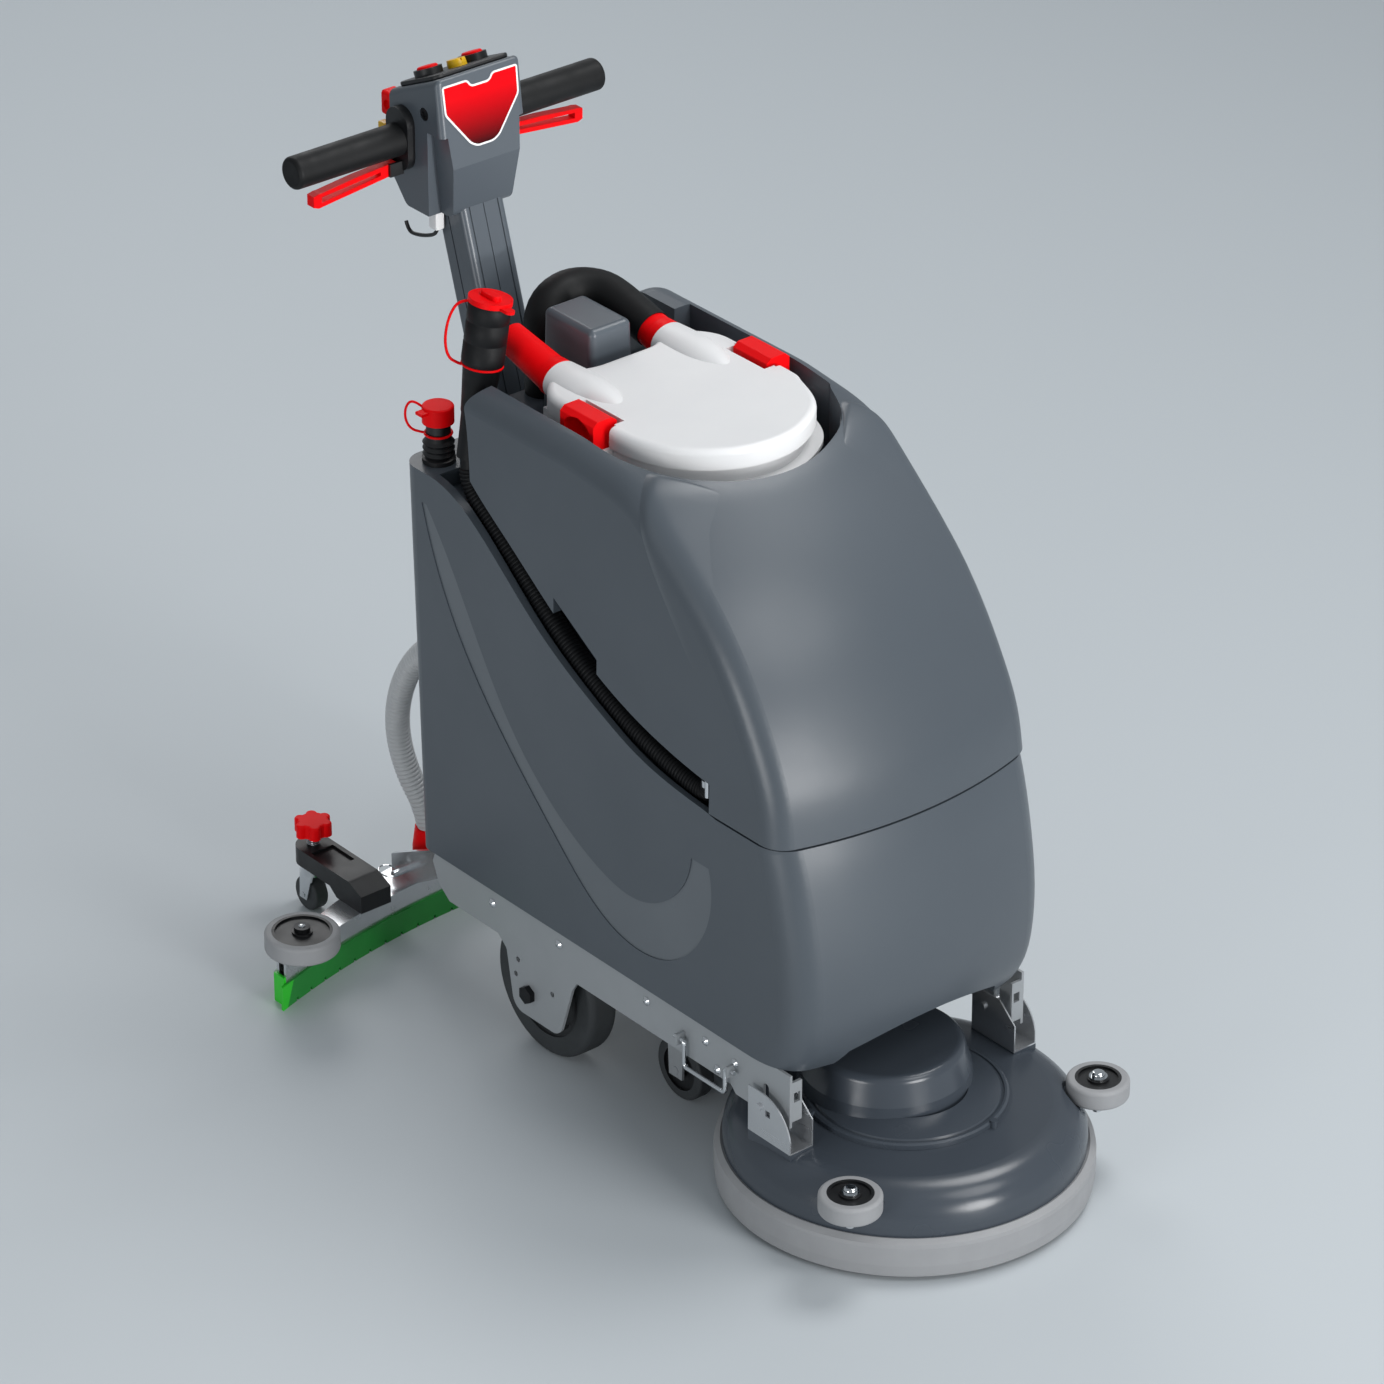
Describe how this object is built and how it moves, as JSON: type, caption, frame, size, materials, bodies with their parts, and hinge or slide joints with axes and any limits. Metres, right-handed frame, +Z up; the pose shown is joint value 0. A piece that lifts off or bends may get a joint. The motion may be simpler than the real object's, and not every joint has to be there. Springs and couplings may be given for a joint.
{
  "type": "walk-behind floor scrubber",
  "caption": "Walk-behind battery floor scrubber with a round brush deck, sloped tank body, bowed rear squeegee on a hose and a tall column handle with lever grips.",
  "frame": {"origin": "middle of the footprint on the floor", "axes": "+Z up, +Y to the rear where the operator walks, +X to the machine's left"},
  "size_m": [0.778, 1.29, 1.2568],
  "materials": {
    "slate_plastic": "semi-gloss moulded",
    "black_plastic": "satin",
    "black_rubber": "matte",
    "grey_rubber": "matte",
    "grey_hose": "satin",
    "red_plastic": "gloss",
    "yellow_plastic": "gloss",
    "white_plastic": "satin",
    "frame_steel": "satin",
    "stainless": "brushed",
    "chrome": "bright",
    "green_rubber": "satin",
    "motor_iron": "painted",
    "bristle": "nylon",
    "dark_tyre": "grey tread"
  },
  "bodies": {
    "chassis": {"chassis_frame": "frame_steel", "wheel_axle": "chrome", "support_forks": "frame_steel", "solution_tank": "slate_plastic", "battery_pack": "black_plastic", "filler_neck": "black_plastic", "column_pin": "chrome", "squeegee_hose": "grey_hose"},
    "bail": {"plate_bail": "chrome"},
    "filler_cap": {"filler_cap": "red_plastic"},
    "hood": {"hood_shell": "slate_plastic", "separator_tank": "white_plastic", "vacuum_box": "slate_plastic", "vacuum_motor": "motor_iron", "hose_cuffs": "red_plastic", "suction_hose": "black_rubber", "vacuum_hose": "black_rubber", "drain_hose": "black_rubber"},
    "drain_cap": {"drain_cap": "red_plastic"},
    "lid": {"separator_lid": "white_plastic"},
    "handle": {"column_shells": "slate_plastic", "head_housing": "slate_plastic", "control_panel": "black_plastic", "handlebar": "black_plastic", "hand_grips": "black_rubber"},
    "dial": {"speed_dial": "yellow_plastic"},
    "key": {"isolator_key": "red_plastic"},
    "deck": {"deck_shell": "slate_plastic", "deck_skirt": "grey_rubber", "motor_cover": "slate_plastic", "brush_motor": "motor_iron", "deck_brackets": "stainless", "bumper_bolts": "chrome"},
    "brush": {"brush_disc": "black_plastic", "brush_bristles": "bristle"},
    "squeegee": {"squeegee_channel": "stainless", "front_blade": "green_rubber", "rear_blade": "green_rubber", "caster_arms": "black_plastic", "squeegee_cuff": "red_plastic"},
    "wheel_right": {"main_wheel_right": "dark_tyre"},
    "support_right": {"support_wheel_right": "grey_rubber"},
    "latch_right": {"lid_latch_right": "red_plastic"},
    "trigger_right": {"trigger_right": "red_plastic"},
    "button_right": {"button_right": "red_plastic"},
    "bumper_right": {"bumper_roller_right": "grey_rubber"},
    "knob_right": {"height_knob_right": "red_plastic"},
    "fork_right": {"caster_fork_right": "black_plastic"},
    "caster_right": {"caster_wheel_right": "black_rubber"},
    "end_roller_right": {"end_roller_right": "grey_rubber"},
    "wheel_left": {"main_wheel_left": "dark_tyre"},
    "support_left": {"support_wheel_left": "grey_rubber"},
    "latch_left": {"lid_latch_left": "red_plastic"},
    "trigger_left": {"trigger_left": "red_plastic"},
    "button_left": {"button_left": "red_plastic"},
    "bumper_left": {"bumper_roller_left": "grey_rubber"},
    "knob_left": {"height_knob_left": "red_plastic"},
    "fork_left": {"caster_fork_left": "black_plastic"},
    "caster_left": {"caster_wheel_left": "black_rubber"},
    "end_roller_left": {"end_roller_left": "grey_rubber"}
  },
  "joints": [
    {"name": "bail_swing", "type": "hinge", "parent": "chassis", "child": "bail", "pos_m": [-0.205, -0.245, 0.19], "axis": [0, 1, 0], "range_deg": [0, 80]},
    {"name": "filler_cap_pull", "type": "slide", "parent": "chassis", "child": "filler_cap", "axis": [0, 0, 1], "range_m": [0, 0.03]},
    {"name": "hood_lift", "type": "slide", "parent": "chassis", "child": "hood", "axis": [0, 0, 1], "range_m": [0, 0.15]},
    {"name": "drain_cap_pull", "type": "slide", "parent": "hood", "child": "drain_cap", "axis": [0.1506, -0.0235, 0.9883], "range_m": [0, 0.03]},
    {"name": "lid_lift", "type": "slide", "parent": "hood", "child": "lid", "axis": [0, 0, 1], "range_m": [0, 0.08]},
    {"name": "handle_tilt", "type": "hinge", "parent": "chassis", "child": "handle", "pos_m": [0, 0.327, 0.56], "axis": [-1, 0, 0], "range_deg": [0, 20]},
    {"name": "dial_turn", "type": "hinge", "parent": "handle", "child": "dial", "pos_m": [0, 0.49792, 1.23718], "axis": [0, 0.4179, 0.9085], "range_deg": [-135, 135]},
    {"name": "key_pull", "type": "slide", "parent": "handle", "child": "key", "axis": [0, 1, 0], "range_m": [0, 0.02]},
    {"name": "deck_lift", "type": "slide", "parent": "chassis", "child": "deck", "axis": [0, 0, 1], "range_m": [0, 0.024]},
    {"name": "brush_spin", "type": "hinge", "parent": "deck", "child": "brush", "pos_m": [0, -0.4, 0.05], "axis": [0, 0, 1], "continuous": true},
    {"name": "squeegee_lift", "type": "hinge", "parent": "chassis", "child": "squeegee", "pos_m": [0, 0.312, 0.192], "axis": [1, 0, 0], "range_deg": [0, 12], "deforming": ["squeegee_hose"]},
    {"name": "wheel_spin_right", "type": "hinge", "parent": "chassis", "child": "wheel_right", "pos_m": [-0.1495, 0.125, 0.1], "axis": [1, 0, 0], "continuous": true},
    {"name": "support_spin_right", "type": "hinge", "parent": "chassis", "child": "support_right", "pos_m": [-0.095, -0.075, 0.045], "axis": [1, 0, 0], "continuous": true},
    {"name": "latch_swing_right", "type": "hinge", "parent": "hood", "child": "latch_right", "pos_m": [-0.142, 0.06, 0.919], "axis": [0, -1, 0], "range_deg": [0, 20]},
    {"name": "trigger_pull_right", "type": "hinge", "parent": "handle", "child": "trigger_right", "pos_m": [-0.09, 0.527, 1.118], "axis": [0, 1, 0], "range_deg": [0, 6], "stiffness_Nm_per_rad": 2, "springref_deg": -11.46},
    {"name": "button_press_right", "type": "slide", "parent": "handle", "child": "button_right", "axis": [0, -0.4179, -0.9085], "range_m": [0, 0.002], "stiffness_N_per_m": 500, "springref_m": -0.001},
    {"name": "bumper_spin_right", "type": "hinge", "parent": "deck", "child": "bumper_right", "pos_m": [-0.209, -0.5345, 0.115], "axis": [0, 0, 1], "continuous": true},
    {"name": "knob_turn_right", "type": "hinge", "parent": "squeegee", "child": "knob_right", "pos_m": [-0.187, 0.612, 0.13], "axis": [0, 0, 1], "continuous": true},
    {"name": "fork_swivel_right", "type": "hinge", "parent": "squeegee", "child": "fork_right", "pos_m": [-0.187, 0.612, 0.07], "axis": [0, 0, 1], "continuous": true},
    {"name": "caster_spin_right", "type": "hinge", "parent": "fork_right", "child": "caster_right", "pos_m": [-0.187, 0.62, 0.025], "axis": [1, 0, 0], "continuous": true},
    {"name": "end_roller_spin_right", "type": "hinge", "parent": "squeegee", "child": "end_roller_right", "pos_m": [-0.338, 0.43489, 0.093], "axis": [0, 0, 1], "continuous": true},
    {"name": "wheel_spin_left", "type": "hinge", "parent": "chassis", "child": "wheel_left", "pos_m": [0.1495, 0.125, 0.1], "axis": [1, 0, 0], "continuous": true},
    {"name": "support_spin_left", "type": "hinge", "parent": "chassis", "child": "support_left", "pos_m": [0.095, -0.075, 0.045], "axis": [1, 0, 0], "continuous": true},
    {"name": "latch_swing_left", "type": "hinge", "parent": "hood", "child": "latch_left", "pos_m": [0.142, 0.06, 0.919], "axis": [0, 1, 0], "range_deg": [0, 20]},
    {"name": "trigger_pull_left", "type": "hinge", "parent": "handle", "child": "trigger_left", "pos_m": [0.09, 0.527, 1.118], "axis": [0, -1, 0], "range_deg": [0, 6], "stiffness_Nm_per_rad": 2, "springref_deg": -11.46},
    {"name": "button_press_left", "type": "slide", "parent": "handle", "child": "button_left", "axis": [0, -0.4179, -0.9085], "range_m": [0, 0.002], "stiffness_N_per_m": 500, "springref_m": -0.001},
    {"name": "bumper_spin_left", "type": "hinge", "parent": "deck", "child": "bumper_left", "pos_m": [0.209, -0.5345, 0.115], "axis": [0, 0, 1], "continuous": true},
    {"name": "knob_turn_left", "type": "hinge", "parent": "squeegee", "child": "knob_left", "pos_m": [0.187, 0.612, 0.13], "axis": [0, 0, 1], "continuous": true},
    {"name": "fork_swivel_left", "type": "hinge", "parent": "squeegee", "child": "fork_left", "pos_m": [0.187, 0.612, 0.07], "axis": [0, 0, 1], "continuous": true},
    {"name": "caster_spin_left", "type": "hinge", "parent": "fork_left", "child": "caster_left", "pos_m": [0.187, 0.62, 0.025], "axis": [1, 0, 0], "continuous": true},
    {"name": "end_roller_spin_left", "type": "hinge", "parent": "squeegee", "child": "end_roller_left", "pos_m": [0.338, 0.43489, 0.093], "axis": [0, 0, 1], "continuous": true}
  ]
}
